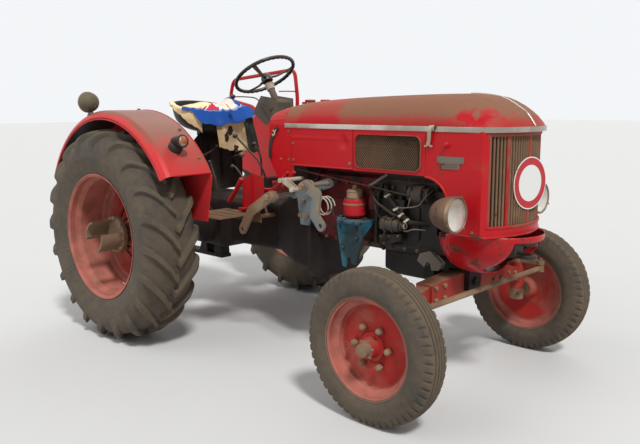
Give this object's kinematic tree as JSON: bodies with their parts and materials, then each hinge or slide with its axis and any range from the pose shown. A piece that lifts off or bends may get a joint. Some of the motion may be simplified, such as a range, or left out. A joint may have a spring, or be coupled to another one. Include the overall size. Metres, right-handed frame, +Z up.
{
  "type": "vintage farm tractor",
  "caption": "Open farm tractor with large lugged rear wheels, ribbed steered front wheels, hinged bonnet, round fenders, seat and mower lift cranks.",
  "frame": {"origin": "on the ground under the middle of the tractor's length", "axes": "+X forward, +Y to the driver's left, +Z up"},
  "size_m": [3.2643, 2.1, 1.8529],
  "materials": {
    "red_paint": "faded gloss, dusty",
    "dark_red_paint": "old paint under dust and oil",
    "dusty_bonnet": "red paint under a film of dust",
    "dusty_steel": "bare steel with dried mud and rust",
    "cast_block": "oily and dark",
    "black_steel": "worn black",
    "tyre_rubber": "dusty",
    "bright_trim": "scratched and dulled",
    "sign_face": "white with a red ring",
    "black_plastic": "worn smooth",
    "seat_foam": "torn yellow foam",
    "seat_cloth": "printed cotton in blue, white and red",
    "drab_lamp": "drab, scratched",
    "teal_paint": "chipped blue-green over black"
  },
  "bodies": {
    "root": {"engine": "cast_block", "gearbox": "dark_red_paint", "rear_axle_housing": "dark_red_paint", "front_frame": "dark_red_paint", "radiator": "cast_block", "side_strip": "bright_trim", "side_panel_right": "red_paint", "side_panel_left": "red_paint", "nose_shell": "red_paint", "grille": "dusty_steel", "chin_apron": "red_paint", "round_sign": "sign_face", "cowl": "red_paint", "steering_column": "black_steel", "seat_pan": "black_steel", "seat_support": "black_steel", "seat_cushion": "seat_foam", "seat_cloth": "seat_cloth", "fender_right": "red_paint", "fender_left": "red_paint", "fender_lamps": "black_plastic", "work_lamp": "drab_lamp", "handrail": "red_paint", "footplates": "dusty_steel", "pedals": "dusty_steel", "hand_levers": "black_steel", "headlamp_right": "dusty_steel", "headlamp_left": "dusty_steel", "front_axle": "red_paint", "lift_bracket": "dusty_steel", "hanger_bracket": "teal_paint", "drawbar": "dark_red_paint", "tow_jaw": "black_steel"},
    "bonnet": {"bonnet_lid": "dusty_bonnet"},
    "steering_wheel": {"steering_wheel": "black_plastic"},
    "knuckle_right": {"knuckle_right": "dusty_steel"},
    "knuckle_left": {"knuckle_left": "dusty_steel"},
    "tie_rod": {"tie_rod": "dusty_steel"},
    "front_wheel_right": {"front_tyre_right": "tyre_rubber", "front_rim_right": "red_paint"},
    "front_wheel_left": {"front_tyre_left": "tyre_rubber", "front_rim_left": "red_paint"},
    "rear_wheel_right": {"rear_tyre_right": "tyre_rubber", "rear_rim_right": "red_paint"},
    "rear_wheel_left": {"rear_tyre_left": "tyre_rubber", "rear_rim_left": "red_paint"},
    "lift_crank_rear": {"lift_crank_rear": "dusty_steel"},
    "lift_crank_front": {"lift_crank_front": "dusty_steel"}
  },
  "joints": [
    {"name": "rear_wheel_right", "type": "hinge", "parent": "root", "child": "rear_wheel_right", "pos_m": [-0.91641, -0.86, 0.69], "axis": [0, 1, 0], "continuous": true},
    {"name": "rear_wheel_left", "type": "hinge", "parent": "root", "child": "rear_wheel_left", "pos_m": [-0.91641, 0.86, 0.69], "axis": [0, 1, 0], "continuous": true},
    {"name": "steer_right", "type": "hinge", "parent": "root", "child": "knuckle_right", "pos_m": [1.18359, -0.62, 0.49], "axis": [0, 0, 1], "range_deg": [-38, 38]},
    {"name": "steer_left", "type": "hinge", "parent": "root", "child": "knuckle_left", "pos_m": [1.18359, 0.62, 0.49], "axis": [0, 0, 1], "range_deg": [-38, 38]},
    {"name": "tie_rod_swivel", "type": "hinge", "parent": "knuckle_right", "child": "tie_rod", "pos_m": [1.33359, -0.62, 0.59], "axis": [0, 0, 1], "range_deg": [-38, 38]},
    {"name": "front_wheel_right", "type": "hinge", "parent": "knuckle_right", "child": "front_wheel_right", "pos_m": [1.18359, -0.765, 0.385], "axis": [0, 1, 0], "continuous": true},
    {"name": "front_wheel_left", "type": "hinge", "parent": "knuckle_left", "child": "front_wheel_left", "pos_m": [1.18359, 0.765, 0.385], "axis": [0, 1, 0], "continuous": true},
    {"name": "steering_wheel_turn", "type": "hinge", "parent": "root", "child": "steering_wheel", "pos_m": [-0.37941, 0, 1.681], "axis": [-0.5299, 0, 0.848], "range_deg": [-460, 460]},
    {"name": "bonnet_hinge", "type": "hinge", "parent": "root", "child": "bonnet", "pos_m": [0.08859, 0, 1.552], "axis": [0, -1, 0], "range_deg": [0, 50]},
    {"name": "lift_rear_swing", "type": "hinge", "parent": "root", "child": "lift_crank_rear", "pos_m": [0.11359, -0.45, 0.984], "axis": [0, 1, 0], "range_deg": [-35, 5]},
    {"name": "lift_front_swing", "type": "hinge", "parent": "root", "child": "lift_crank_front", "pos_m": [0.41459, -0.45, 1.073], "axis": [0, 1, 0], "range_deg": [-25, 25]}
  ],
  "couplings": [
    {"joint": "steer_left", "follows": "steer_right", "ratio": 1},
    {"joint": "tie_rod_swivel", "follows": "steer_right", "ratio": -1},
    {"joint": "steering_wheel_turn", "follows": "steer_right", "ratio": 12}
  ]
}
